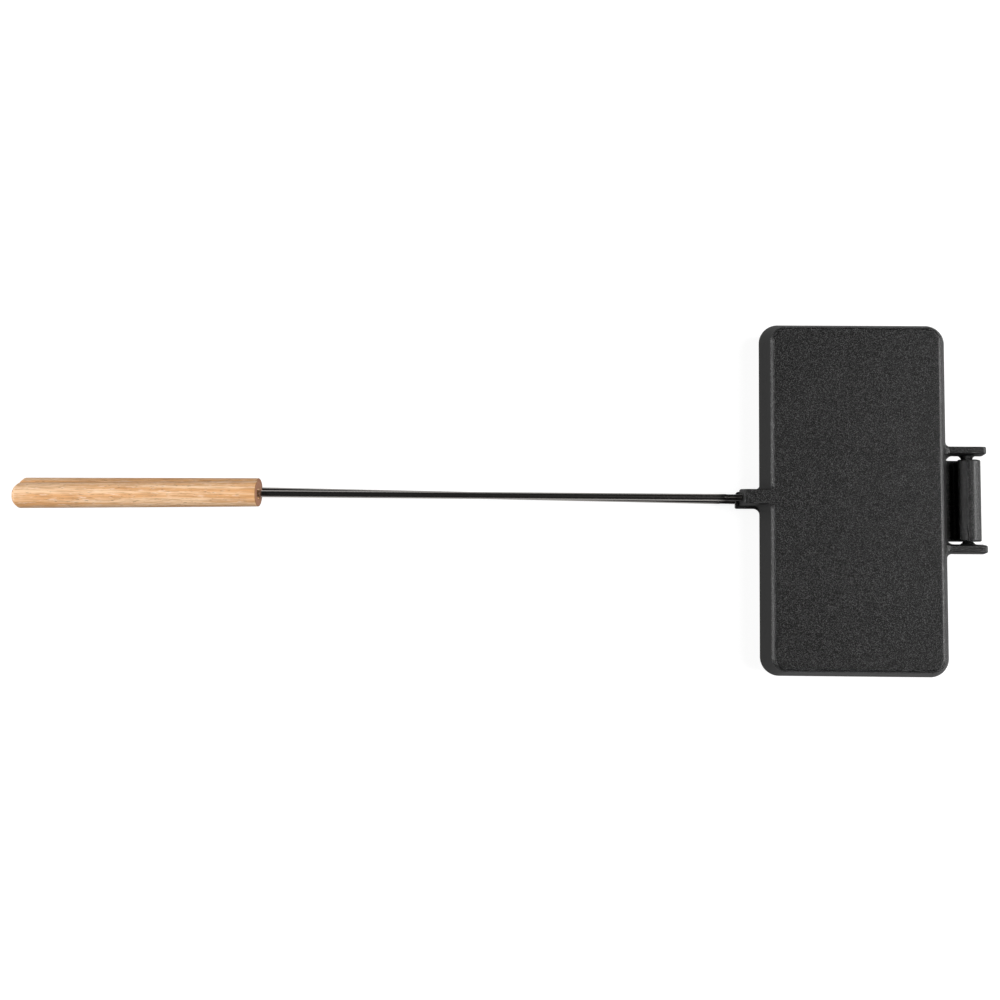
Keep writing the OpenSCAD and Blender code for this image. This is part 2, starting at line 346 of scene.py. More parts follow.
@dataclass(frozen=True)
class TurnedBeech:
    """Steamed beech, turned and left bare: warm tan, fine straight fibres, short dark pores.

    Real pores are 0.1 mm wide; they are drawn at 0.6 mm so that they show at this distance.
    The mouth's rounded rim carries painted shade, and end grain is darker than the sides.
    """

    pale: str = "#f8d2aa"
    warm: str = "#e4ac76"
    fibre: str = "#c48e5c"
    silver: str = "#fbdfc4"
    pore: str = "#7c4e2e"
    end_grain: str = "#9a6e58"
    painted_rim_shade: str = "#7e5230"
    growth: Fibres = Fibres(2.8, 110.0, (0.38, 0.64), 1.0, 3.0)
    strands: Fibres = Fibres(1.0, 14.0, (0.42, 0.66), 0.6)
    rays: Fibres = Fibres(1.2, 7.0, (0.55, 0.75), 0.7)
    pores: Fibres = Fibres(0.6, 4.5, (0.62, 0.74), 0.75)
    pore_depth: float = 0.06
    rim_shade_span: tuple[float, float] = (0.12, 0.45)
    end_span: tuple[float, float] = (0.8, 0.97)
    dark_share: float = 0.8
    roughness: float = 0.6

    def material(self) -> bpy.types.Material:
        """Build the finish.

        Returns:
            The material of both handles.
        """
        made, tree = new_material("bare_turned_beech")
        own = add_node(tree, "ShaderNodeTexCoord").outputs
        place, normal = own["Object"], own["Normal"]
        wood: Any = self.pale
        for streaks, colour in ((self.growth, self.warm), (self.strands, self.fibre),
                                (self.rays, self.silver)):
            wood = blend_colours(tree, streaks.share(tree, place), wood, colour)
        pores = self.pores.share(tree, place)
        wood = blend_colours(tree, pores, wood, self.pore)
        facing = add_node(tree, "ShaderNodeSeparateXYZ", {0: normal}).outputs["X"]
        square = add_node(tree, "ShaderNodeMath", {0: facing}, operation="ABSOLUTE")
        # The mouth's rim gets painted shade; both ends get the darker colour that end grain has.
        for lean, span, colour in ((facing, self.rim_shade_span, self.painted_rim_shade),
                                   (square, self.end_span, self.end_grain)):
            share = add_node(tree, "ShaderNodeMapRange", {
                "Value": lean, "From Min": span[0], "From Max": span[1],
                "To Max": self.dark_share})
            wood = blend_colours(tree, share, wood, colour)
        bump = add_node(tree, "ShaderNodeBump", {
            "Height": pores, "Strength": 0.6, "Distance": self.pore_depth * MM}, invert=True)
        skin = add_node(tree, "ShaderNodeBsdfPrincipled", {
            "Base Color": wood, "Roughness": self.roughness, "IOR": 1.5,
            "Specular IOR Level": 0.25, "Normal": bump})
        add_node(tree, "ShaderNodeOutputMaterial", {"Surface": skin})
        return made


# ------------------------------------------------------------------------------ castings

class Spots(NamedTuple):
    """Places in a half's own frame: along the rods, across them, and deep from the parting."""

    x: np.ndarray
    y: np.ndarray
    h: np.ndarray


def eased(low: float, high: float, share: np.ndarray) -> np.ndarray:
    """Go from one size to another as a share rises from 0 to 1."""
    return low + (high - low) * np.clip(share, 0, 1)


def joined_inside(a: np.ndarray, b: np.ndarray, radius: Any) -> np.ndarray:
    """Keep what lies in both shapes, with the edge between them rounded.

    Args:
        a: Distance to the first shape, negative inside.
        b: Distance to the second shape.
        radius: Radius of the broken edge.

    Returns:
        Distance to the common shape.
    """
    return (np.minimum(np.maximum(a, b), -radius)
            + np.hypot(np.maximum(a + radius, 0), np.maximum(b + radius, 0)))


def joined_outside(a: np.ndarray, b: np.ndarray, radius: Any) -> np.ndarray:
    """Join two shapes with a fillet of the given radius between them.

    Args:
        a: Distance to the first shape, negative inside.
        b: Distance to the second shape.
        radius: Radius of the fillet.

    Returns:
        Distance to the joined shape.
    """
    return -joined_inside(-a, -b, radius)


@dataclass(frozen=True)
class DraftedBlock:
    """A block with a round-cornered outline that narrows towards a flat face."""

    half_x: float
    half_y: float
    corner: float
    face_corner: float
    depth: float
    inset_x: float
    inset_y: float
    edge: float
    least_corner: float = 0.5

    def lean(self, inset: float) -> float:
        """Lean from upright of a wall that meets the round edge of the face.

        Args:
            inset: How far the face stands back from the outline on that side.

        Returns:
            The angle in radians.
        """
        rise = self.depth - self.edge
        return (math.pi / 2 - math.atan2(rise, inset)
                - math.asin(self.edge / math.hypot(inset, rise)))

    def wall(self, at: Spots) -> np.ndarray:
        """Measure the distance to the leaning walls, which run on past the face.

        Args:
            at: Places seen from the block's centre.

        Returns:
            Distance, negative inside.
        """
        lean_x, lean_y = self.lean(self.inset_x), self.lean(self.inset_y)
        middle = (lean_x + lean_y) / 2
        rise = self.depth - self.edge * (1 - math.sin(middle))
        shrink = (self.face_corner + self.edge * math.cos(middle) - self.corner) / rise
        corner = np.maximum(self.corner + shrink * at.h, self.least_corner)
        over_x = np.abs(at.x) - self.half_x + math.tan(lean_x) * at.h + corner
        over_y = np.abs(at.y) - self.half_y + math.tan(lean_y) * at.h + corner
        out_x, out_y = np.maximum(over_x, 0), np.maximum(over_y, 0)
        reach = np.hypot(out_x, out_y)
        flat = reach + np.minimum(np.maximum(over_x, over_y), 0) - corner
        inside = reach < TINY
        safe = np.where(inside, 1.0, reach)
        face_x = np.where(inside, over_x > over_y, out_x / safe)
        face_y = np.where(inside, over_x <= over_y, out_y / safe)
        slope = (face_x * (math.tan(lean_x) + shrink) + face_y * (math.tan(lean_y) + shrink)
                 - shrink)
        return flat / np.sqrt(1 + slope * slope)


@dataclass(frozen=True)
class MouldLines:
    """The lines of the grid along one axis, closer where the casting turns."""

    bands: tuple[tuple[float, float, float], ...]

    def places(self, coarser: float) -> np.ndarray:
        """Spread the lines.

        Args:
            coarser: Factor on every step.

        Returns:
            Places in rising order.
        """
        runs = [np.linspace(a, b, max(2, int(round((b - a) / (step * coarser))) + 1))[:-1]
                for a, b, step in self.bands]
        return np.concatenate(runs + [[self.bands[-1][1]]])


ALONG = MouldLines(((-85.0, -69.0, 0.8), (-69.0, -50.0, 0.62), (-50.0, 50.0, 4.0),
                    (50.0, 69.0, 0.62), (69.0, 94.2, 0.68)))
ACROSS = MouldLines(((-127.0, -110.0, 0.66), (-110.0, -42.0, 4.0), (-42.0, -26.0, 0.72),
                     (-26.0, -15.0, 2.7), (-15.0, 15.0, 0.75), (15.0, 26.0, 2.7),
                     (26.0, 42.0, 0.72), (42.0, 110.0, 4.0), (110.0, 127.0, 0.66)))
SETTLING_ROUNDS = 4  # times that the skin's points are drawn on to the true surface
PROBE = 0.02  # reach over which a field's rise is measured


@dataclass
class PanHalf:
    """What the two castings share: block, rod lug, hollows and the way they are skinned."""

    line: RodLine
    node: str
    lug_offset: float
    lug_left_edge: float
    depth_lines: MouldLines
    lug_width: float = 12.4
    lug_face_width: float = 10.1
    lug_draft: float = 1.7
    lug_fillet: float = 4.3
    lug_left_fillet: float = 2.6
    lug_edge: float = 0.7
    rim_edge: float = 0.6
    body: DraftedBlock = DraftedBlock(RIM_X, RIM_Y, 13.5, 7.5, DEPTH, 9.0, 7.0, 3.0)
    hollow: DraftedBlock = DraftedBlock(62.0, 58.6, 10.0, 5.0, 15.0, 7.0, 7.0, 4.0)
    hollow_y: float = 62.6
    crest_edge: float = 0.9
    divider_half: tuple[float, float] = (52.0, 14.0)
    divider_drop: float = 1.0
    divider_corner: float = 1.0
    divider_edge: float = 0.5
    hole_r: float = 2.62
    hole_edge: float = 0.35

    def lug_wall(self, at: Spots) -> np.ndarray:
        """Measure the distance to the lug's sides and end.

        Args:
            at: Places in the half's own frame.

        Returns:
            Distance, negative inside.
        """
        slope = (self.lug_width - self.lug_face_width) / 2 / DEPTH
        side = np.abs(at.y - self.lug_offset) - self.lug_width / 2 + slope * at.h
        side = side / math.hypot(1, slope)
        end = -at.x - RIM_X - self.line.lug_reach + self.lug_draft * at.h / DEPTH
        corner = np.where(at.y > self.lug_offset, self.lug_left_edge, self.lug_edge)
        return np.maximum(joined_inside(side, end, corner), at.x)

    def blank(self, at: Spots) -> np.ndarray:
        """Measure the distance to block and lug, not yet cut at the parting plane.

        Args:
            at: Places in the half's own frame.

        Returns:
            Distance, negative inside.
        """
        block, lug = self.body.wall(at), self.lug_wall(at)
        edge = eased(self.lug_edge, self.body.edge, 0.5 + (lug - block) / EDGE_RUN)
        fillet = np.where(at.y > self.lug_offset, self.lug_left_fillet, self.lug_fillet)
        return joined_inside(joined_outside(block, lug, fillet), at.h - DEPTH, edge)

    def cut(self, solid: np.ndarray, at: Spots) -> np.ndarray:
        """Cut the two hollows, the lowered divider and the rod's tapped hole.

        Args:
            solid: Distance to the uncut casting.
            at: Places in the half's own frame.

        Returns:
            Distance to the cut casting.
        """
        for side in (-1, 1):
            hollow = joined_inside(self.hollow.wall(at._replace(y=at.y - side * self.hollow_y)),
                                   at.h - self.hollow.depth, self.hollow.edge)
            solid = joined_inside(solid, -hollow, self.crest_edge)
        strip = joined_inside(np.abs(at.x) - self.divider_half[0],
                              np.abs(at.y) - self.divider_half[1], self.divider_corner)
        strip = joined_inside(strip, at.h - self.divider_drop, self.divider_edge)
        solid = joined_inside(solid, -strip, self.crest_edge)
        inwards = at.x - self.line.start
        turn = math.tan(math.radians(self.line.turn))
        hole = np.hypot(at.y - self.line.offset - turn * inwards, at.h - ROD_RISE) - self.hole_r
        return joined_inside(solid, -np.maximum(hole, inwards - ROD_DEPTH), self.hole_edge)

    def field(self, at: Spots) -> np.ndarray:
        """Measure the distance to the finished casting.

        Args:
            at: Places in the half's own frame.

        Returns:
            Distance, negative inside.
        """
        raise NotImplementedError

    def build(self, finish: bpy.types.Material) -> bpy.types.Object:
        """Skin the casting and hand it over in place of its solid.

        Args:
            finish: The iron's material.

        Returns:
            The finished piece.
        """
        coarser = 1.0
        x, y, h = [lines.places(coarser) for lines in (ALONG, ACROSS, self.depth_lines)]
        grid = Spots(x[:, None, None], y[None, :, None], h[None, None, :])
        points, quads = skin(self.field(grid), (x, y, h))
        for _ in range(SETTLING_ROUNDS):
            value, slope = self.field(Spots(*points.T)), self.slope(points)
            points = points - (value / np.maximum((slope ** 2).sum(1), TINY))[:, None] * slope
        normals = self.slope(points)
        normals /= np.linalg.norm(normals, axis=1)[:, None]
        half = self.line.half
        points[:, 2] = DEPTH + half.up * points[:, 2]
        normals[:, 2] *= half.up
        if half is Half.BOTTOM:
            quads = quads[:, ::-1]
        piece = new_piece(self.node + "_casting", points * MM, quads, finish)
        piece.data.normals_split_custom_set_from_vertices(normals.tolist())
        return hand_over(piece, half, self.node)

    def slope(self, points: np.ndarray) -> np.ndarray:
        """Measure how the field rises at some points.

        Args:
            points: Places in the half's own frame, one a row.

        Returns:
            The field's gradient at each point.
        """
        rises = []
        for step in np.eye(3) * PROBE:
            ahead, behind = [self.field(Spots(*(points + way * step).T)) for way in (1, -1)]
            rises.append((ahead - behind) / (2 * PROBE))
        return np.stack(rises, 1)


@dataclass
class TopPan(PanHalf):
    """The upper casting, with two hinge arms and the pin cast between them."""

    node: str = "top_pan"
    lug_offset: float = 0.55
    lug_left_edge: float = 1.4
    depth_lines: MouldLines = MouldLines(((-5.8, -0.1, 0.63), (-0.1, 1.2, 0.42), (1.2, 2.6, 0.7),
                                          (2.6, 9.2, 1.1), (9.2, 19.4, 0.6)))
    left_arm_centre: float = 35.5
    right_arm_centre: float = 34.7
    arm_thickness: float = 7.2
    arm_edge_thickness: float = 4.8
    arm_crown: float = 0.6
    arm_rise: float = 11.0
    arm_drop: float = 5.0
    arm_reach: float = 11.4
    arm_corner: float = 3.0
    arm_low_corner: float = 9.0
    arm_edge: float = 1.1
    arm_fillet: float = 3.0
    slot_fillet: float = 4.5
    under_fillet: float = 1.2
    pin_r: float = 3.6
    pin_root_r: float = 5.2
    neck_start: float = 29.5
    pin_fillet: float = 0.8

    def field(self, at: Spots) -> np.ndarray:
        """Measure the distance to the finished top casting.

        Args:
            at: Places in the half's own frame.

        Returns:
            Distance, negative inside.
        """
        out, across = at.x - HINGE_X, np.abs(at.y - HINGE_Y)
        centre = np.where(at.y > HINGE_Y, self.left_arm_centre, self.right_arm_centre)
        lean = (self.arm_thickness - self.arm_edge_thickness) / 2 / self.arm_rise
        side = (np.abs(across - centre) - self.arm_thickness / 2
                + lean * np.hypot(at.h, self.arm_crown))
        tip = joined_inside(out - self.arm_reach, at.h - self.arm_rise, self.arm_corner)
        plate = np.maximum(joined_inside(side, tip, self.arm_edge), -out - HINGE_ROOT)
        fillet = eased(self.arm_fillet, self.slot_fillet, 0.5 + (centre - across) / FILLET_RUN)
        solid = joined_outside(self.blank(at), plate, fillet)
        under = joined_inside(np.abs(out) - self.arm_reach, -self.arm_drop - at.h,
                              self.arm_low_corner)
        under = joined_outside(RIM_GAP / 2 - at.h, under, self.under_fillet)
        solid = joined_inside(solid, under, self.rim_edge)
        neck = (across - self.neck_start) / (centre - self.arm_thickness / 2 - self.neck_start)
        pin = np.hypot(out, at.h) - eased(self.pin_r, self.pin_root_r, neck)
        pin = np.maximum(pin, across - centre)
        return self.cut(joined_outside(solid, pin, self.pin_fillet), at)


@dataclass
class BottomPan(PanHalf):
    """The lower casting, with the long open hook that reaches round the pin."""

    node: str = "bottom_pan"
    lug_offset: float = -1.4
    lug_left_edge: float = 2.4
    depth_lines: MouldLines = MouldLines(((-10.0, -0.1, 0.6), (-0.1, 1.2, 0.42),
                                          (1.2, 9.6, 0.76), (9.6, 19.4, 0.61)))
    hook_r: float = 9.45
    bore_r: float = 3.9
    hook_half_length: float = 29.2
    lip_reach: float = 8.2
    lip_wander: float = 0.2
    lip_waves: tuple[tuple[float, float, float], ...] = ((0.42, 1.0, 0.0), (1.13, 0.6, 1.0))
    facet_lean: float = 35.0
    facet_depth: float = 0.5
    facet_edge: float = 0.25
    hook_edge: float = 1.1
    lip_edge: float = 0.35
    hook_fillet: float = 3.2
    slot_fillet: float = 4.5

    def field(self, at: Spots) -> np.ndarray:
        """Measure the distance to the finished bottom casting.

        Args:
            at: Places in the half's own frame.

        Returns:
            Distance, negative inside.
        """
        solid = joined_inside(self.blank(at), RIM_GAP / 2 - at.h, self.rim_edge)
        out, rise, across = at.x - HINGE_X, -at.h, np.abs(at.y - HINGE_Y)
        web = np.maximum(np.maximum(-self.hook_r - rise, rise + self.bore_r),
                         np.maximum(out, -out - HINGE_ROOT))
        lean = math.radians(self.facet_lean)
        facet = rise * math.cos(lean) - out * math.sin(lean) - self.hook_r + self.facet_depth
        barrel = joined_inside(np.hypot(out, rise) - self.hook_r, facet, self.facet_edge)
        # The lip wanders as cast iron does, but never past its full reach towards the pan. Each
        # wave has its radians in a millimetre, its height and its phase.
        waves = sum(height * np.sin(rate * at.y + phase) for rate, height, phase in self.lip_waves)
        wander = self.lip_wander * (waves + sum(height for _, height, _ in self.lip_waves))
        beyond = np.maximum(out + self.lip_reach - wander, -self.bore_r - rise)
        slot = np.maximum(out, np.abs(rise) - self.bore_r)
        mouth = joined_outside(slot, beyond, self.lip_edge)
        void = np.minimum(np.hypot(out, rise) - self.bore_r, mouth)
        hook = joined_inside(np.minimum(barrel, web), -void, self.lip_edge)
        hook = joined_inside(hook, across - self.hook_half_length, self.hook_edge)
        near_end = 1 - (self.hook_half_length - across) / FILLET_RUN
        fillet = eased(self.hook_fillet, self.slot_fillet, near_end)
        return self.cut(joined_outside(solid, hook, fillet), at)


def cells_beside(at: tuple[np.ndarray, ...], axis: int, back: tuple[int, int]) -> list[np.ndarray]:
    """Find the cell on one of the four sides of each crossed grid line.

    Args:
        at: Where each line starts, counted along the three axes.
        axis: The axis along which the lines run.
        back: Steps back along the two other axes.

    Returns:
        The cells, counted along the three axes.
    """
    cell = [count.copy() for count in at]
    for step in (1, 2):
        cell[(axis + step) % 3] -= back[step - 1]
    return cell


def skin(field: np.ndarray, lines: tuple[np.ndarray, ...]) -> tuple[np.ndarray, np.ndarray]:
    """Lay a closed net of quads over the zero surface of a field (naive surface nets).

    Args:
        field: Distances on the grid, negative inside.
        lines: The grid's lines along each axis.

    Returns:
        The points and the quads, counter-clockwise seen from outside.
    """
    inside = field < 0
    cells = tuple(n - 1 for n in field.shape)
    total, count = np.zeros(cells + (3,)), np.zeros(cells)
    crossings = []
    for axis in range(3):
        low, high = [tuple(ends if a == axis else slice(None) for a in range(3))
                     for ends in (slice(0, -1), slice(1, None))]
        at = np.nonzero(inside[low] != inside[high])
        first, second = field[low][at], field[high][at]
        place = np.stack([lines[a][at[a]] for a in range(3)], 1)
        step = lines[axis][at[axis] + 1] - lines[axis][at[axis]]
        place[:, axis] += first / (first - second) * step
        crossings.append((at, inside[low][at]))
        for back in ((0, 0), (0, 1), (1, 0), (1, 1)):
            cell = cells_beside(at, axis, back)
            keep = np.all([(c >= 0) & (c < n) for c, n in zip(cell, cells)], axis=0)
            where = tuple(c[keep] for c in cell)
            np.add.at(total, where, place[keep])
            np.add.at(count, where, 1)
    used = count > 0
    number = np.full(cells, -1)
    number[used] = np.arange(int(used.sum()))
    points = total[used] / count[used][:, None]
    quads = []
    for axis, (at, starts_inside) in enumerate(crossings):
        quad = np.stack([number[tuple(cells_beside(at, axis, back))]
                         for back in ((1, 1), (0, 1), (0, 0), (1, 0))], 1)
        quads.append(np.where(starts_inside[:, None], quad, quad[:, ::-1]))
    return points, np.concatenate(quads)


def new_piece(name: str, points: np.ndarray, faces: np.ndarray,
              finish: bpy.types.Material) -> bpy.types.Object:
    """Make a smooth mesh object in the scene.

    Args:
        name: The piece's name.
        points: Its points in metres.
        faces: Its faces as point numbers.
        finish: Its material.

    Returns:
        The new object.
    """
    mesh = bpy.data.meshes.new(name)
    mesh.from_pydata(points.tolist(), [], faces.tolist())
    mesh.polygons.foreach_set("use_smooth", [True] * len(mesh.polygons))
    mesh.materials.append(finish)
    mesh.update()
    piece = bpy.data.objects.new(name, mesh)
    bpy.context.scene.collection.objects.link(piece)
    return piece


def hand_over(piece: bpy.types.Object, half: Half, node: str) -> bpy.types.Object:
    """Let a finished piece move with its half and stand for its solid.

    Args:
        piece: The finished piece.
        half: The half that it moves with.
        node: The solid that it stands for.

    Returns:
        The same piece.
    """
    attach(piece, half.body)
    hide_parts(node)
    mesh = piece.data
    LOG.info("%s: %d points, %d faces", piece.name, len(mesh.vertices), len(mesh.polygons))
    return piece


# ------------------------------------------------------------------------------ turned pieces

SEAM = 0.002  # points closer than this become one where a seam or a pole closes


def new_tree(name: str, sizes: dict[str, str]
             ) -> tuple[bpy.types.NodeTree, dict[str, bpy.types.NodeSocket]]:
    """Start a Geometry Nodes tree.

    Args:
        name: The tree's name.
        sizes: For each named input, its socket type.

    Returns:
        The tree and its inputs by name.
    """
    tree = bpy.data.node_groups.new(name, "GeometryNodeTree")
    tree.interface.new_socket("Geometry", in_out="OUTPUT", socket_type="NodeSocketGeometry")
    for size, kind in sizes.items():
        tree.interface.new_socket(size, in_out="INPUT", socket_type=kind)
    entry = add_node(tree, "NodeGroupInput")
    return tree, {size: entry.outputs[size] for size in sizes}


def finish_tree(tree: bpy.types.NodeTree, shape: bpy.types.Node,
                material: bpy.types.NodeSocket) -> None:
    """End a tree: close seams and poles, shade smooth, make real and give the material.

    Args:
        tree: The tree.
        shape: The node that gives the shape.
        material: The material's input.
    """
    closed = add_node(tree, "GeometryNodeMergeByDistance", {"Geometry": shape, "Distance": SEAM})
    outwards = add_node(tree, "GeometryNodeFlipFaces", {"Mesh": closed})
    smooth = add_node(tree, "GeometryNodeSetShadeSmooth", {"Geometry": outwards})
    real = add_node(tree, "GeometryNodeRealizeInstances", {"Geometry": smooth})
    dressed = add_node(tree, "GeometryNodeSetMaterial", {"Geometry": real, "Material": material})
    add_node(tree, "NodeGroupOutput", {0: dressed})


def grow(name: str, tree: bpy.types.NodeTree, sizes: dict[str, Any],
         place: Matrix) -> bpy.types.Object:
    """Grow a piece from a Geometry Nodes tree and keep it as a plain mesh.

    Args:
        name: The piece's name.
        tree: The tree, with named inputs.
        sizes: A value for each named input, in millimetres where it is a size.
        place: Where the piece's own frame lies, in millimetres.

    Returns:
        The piece at the origin, its place in its mesh.
    """
    seed = bpy.data.objects.new(name + "_seed", bpy.data.meshes.new(name + "_seed"))
    bpy.context.scene.collection.objects.link(seed)
    modifier = seed.modifiers.new("grow", "NODES")
    modifier.node_group = tree
    for item in tree.interface.items_tree:
        if item.item_type == "SOCKET" and item.in_out == "INPUT" and item.name in sizes:
            modifier[item.identifier] = sizes[item.name]
    evaluated = seed.evaluated_get(bpy.context.evaluated_depsgraph_get())
    grown = bpy.data.meshes.new_from_object(evaluated)
    bpy.data.objects.remove(seed)
    grown.transform(Matrix.Diagonal((MM, MM, MM, 1.0)) @ place)
    grown.name = name
    piece = bpy.data.objects.new(name, grown)
    bpy.context.scene.collection.objects.link(piece)
    return piece


@dataclass
class Rod:
    """A steel rod, screwed into its lug by a rolled thread that shows a few turns.

    The thread's flanks run between two shares of its pitch, counted from the crest.
    """

    line: RodLine
    node: str
    diameter: float = 5.0
    thread_showing: float = 11.0
    run_out: float = 1.2
    pitch: float = 0.8
    thread_depth: float = 0.49
    flank: tuple[float, float] = (0.06, 0.44)
    thread_rows: int = 264
    plain_rows: int = 24
    plain_crowding: float = 2.5
    sides: int = 40

    def tree(self) -> bpy.types.NodeTree:
        """Build the tree that wraps a sheet round the rod and presses the thread into it.

        Returns:
            The tree, with named sizes.
        """
        number, whole = "NodeSocketFloat", "NodeSocketInt"
        tree, size = new_tree("threaded_rod", {
            "Radius": number, "Start": number, "Thread length": number, "Plain length": number,
            "Run-out": number, "Pitch": number, "Thread depth": number, "Thread rows": whole,
            "Plain rows": whole, "Sides": whole, "Steel": "NodeSocketMaterial"})
        plain_from = add_node(tree, "ShaderNodeMath", {0: size["Thread rows"], 1: 1.0},
                              operation="ADD")
        plain_to = add_node(tree, "ShaderNodeMath", {0: plain_from, 1: size["Plain rows"]},
                            operation="ADD")
        last = add_node(tree, "ShaderNodeMath", {0: plain_to, 1: 1.0}, operation="ADD")
        lengthwise, around = [add_node(tree, "ShaderNodeMath", {0: steps, 1: 1.0}, operation="ADD")
                              for steps in (last, size["Sides"])]
        sheet = add_node(tree, "GeometryNodeMeshGrid", {
            "Size X": 1.0, "Size Y": 1.0, "Vertices X": lengthwise, "Vertices Y": around})
        spot = add_node(tree, "GeometryNodeInputPosition")
        spot = add_node(tree, "ShaderNodeSeparateXYZ", {0: spot})
        row = add_node(tree, "ShaderNodeMapRange", {
            "Value": spot.outputs["X"], "From Min": -0.5, "From Max": 0.5, "To Max": last})
        row = add_node(tree, "ShaderNodeMath", {0: row}, operation="ROUND")
        turn = add_node(tree, "ShaderNodeMath", {0: spot.outputs["Y"], 1: 0.5}, operation="ADD")
        angle = add_node(tree, "ShaderNodeMath", {0: turn, 1: math.tau}, operation="MULTIPLY")
        threaded = add_node(tree, "ShaderNodeMapRange", {
            "Value": row, "From Min": 1.0, "From Max": plain_from,
            "To Max": size["Thread length"]})
        plain = add_node(tree, "ShaderNodeMapRange", {
            "Value": row, "From Min": plain_from, "From Max": plain_to})
        # The plain rows start close together, so that the thread's slopes don't shade the bare bar.
        plain = add_node(tree, "ShaderNodeMath", {0: plain, 1: self.plain_crowding},
                         operation="POWER")
        run = add_node(tree, "ShaderNodeMath", {0: plain, 1: size["Plain length"], 2: threaded},
                       operation="MULTIPLY_ADD")
        along = add_node(tree, "ShaderNodeMath", {0: run, 1: size["Start"]}, operation="ADD")
        phase = add_node(tree, "ShaderNodeMath", {0: run, 1: size["Pitch"]}, operation="DIVIDE")
        phase = add_node(tree, "ShaderNodeMath", {0: phase, 1: turn}, operation="SUBTRACT")
        ridge = add_node(tree, "ShaderNodeMath", {0: phase, 1: 0.5}, operation="PINGPONG")
        groove = add_node(tree, "ShaderNodeMapRange", {
            "Value": ridge, "From Min": self.flank[0], "From Max": self.flank[1],
            "To Max": size["Thread depth"]})
        fade_from = add_node(tree, "ShaderNodeMath", {
            0: size["Thread length"], 1: size["Run-out"]}, operation="SUBTRACT")
        fade = add_node(tree, "ShaderNodeMapRange", {
            "Value": run, "From Min": fade_from, "From Max": size["Thread length"],
            "To Min": 1.0, "To Max": 0.0})
        pressed = add_node(tree, "ShaderNodeMath", {0: groove, 1: fade}, operation="MULTIPLY")
        radius = add_node(tree, "ShaderNodeMath", {0: size["Radius"], 1: pressed},
                          operation="SUBTRACT")
        # The first and last rows close the ends by drawing in to the axis.
        to_end = add_node(tree, "ShaderNodeMath", {0: last, 1: row}, operation="SUBTRACT")
        for steps in (row, to_end):
            opened = add_node(tree, "ShaderNodeMath", {0: steps, 1: 1.0}, operation="MINIMUM")
            radius = add_node(tree, "ShaderNodeMath", {0: radius, 1: opened},
                              operation="MULTIPLY")
        x, y = [add_node(tree, "ShaderNodeMath", {
            0: radius, 1: add_node(tree, "ShaderNodeMath", {0: angle}, operation=wave)},
            operation="MULTIPLY") for wave in ("COSINE", "SINE")]
        spot = add_node(tree, "ShaderNodeCombineXYZ", {0: x, 1: y, 2: along})
        wrapped = add_node(tree, "GeometryNodeSetPosition", {"Geometry": sheet, "Position": spot})
        finish_tree(tree, wrapped, size["Steel"])
        return tree

    def build(self, finish: bpy.types.Material) -> bpy.types.Object:
        """Grow the rod and hand it over.

        Args:
            finish: The steel's material.

        Returns:
            The finished piece.
        """
        threaded = ROD_DEPTH + self.thread_showing
        sizes = {"Radius": self.diameter / 2, "Start": -ROD_DEPTH, "Thread length": threaded,
                 "Plain length": ROD_DEPTH + ROD_END - threaded, "Run-out": self.run_out,
                 "Pitch": self.pitch, "Thread depth": self.thread_depth,
                 "Thread rows": self.thread_rows, "Plain rows": self.plain_rows,
                 "Sides": self.sides, "Steel": finish}
        piece = grow(self.node + "_bar", self.tree(), sizes, self.line.matrix())
        return hand_over(piece, self.line.half, self.node)


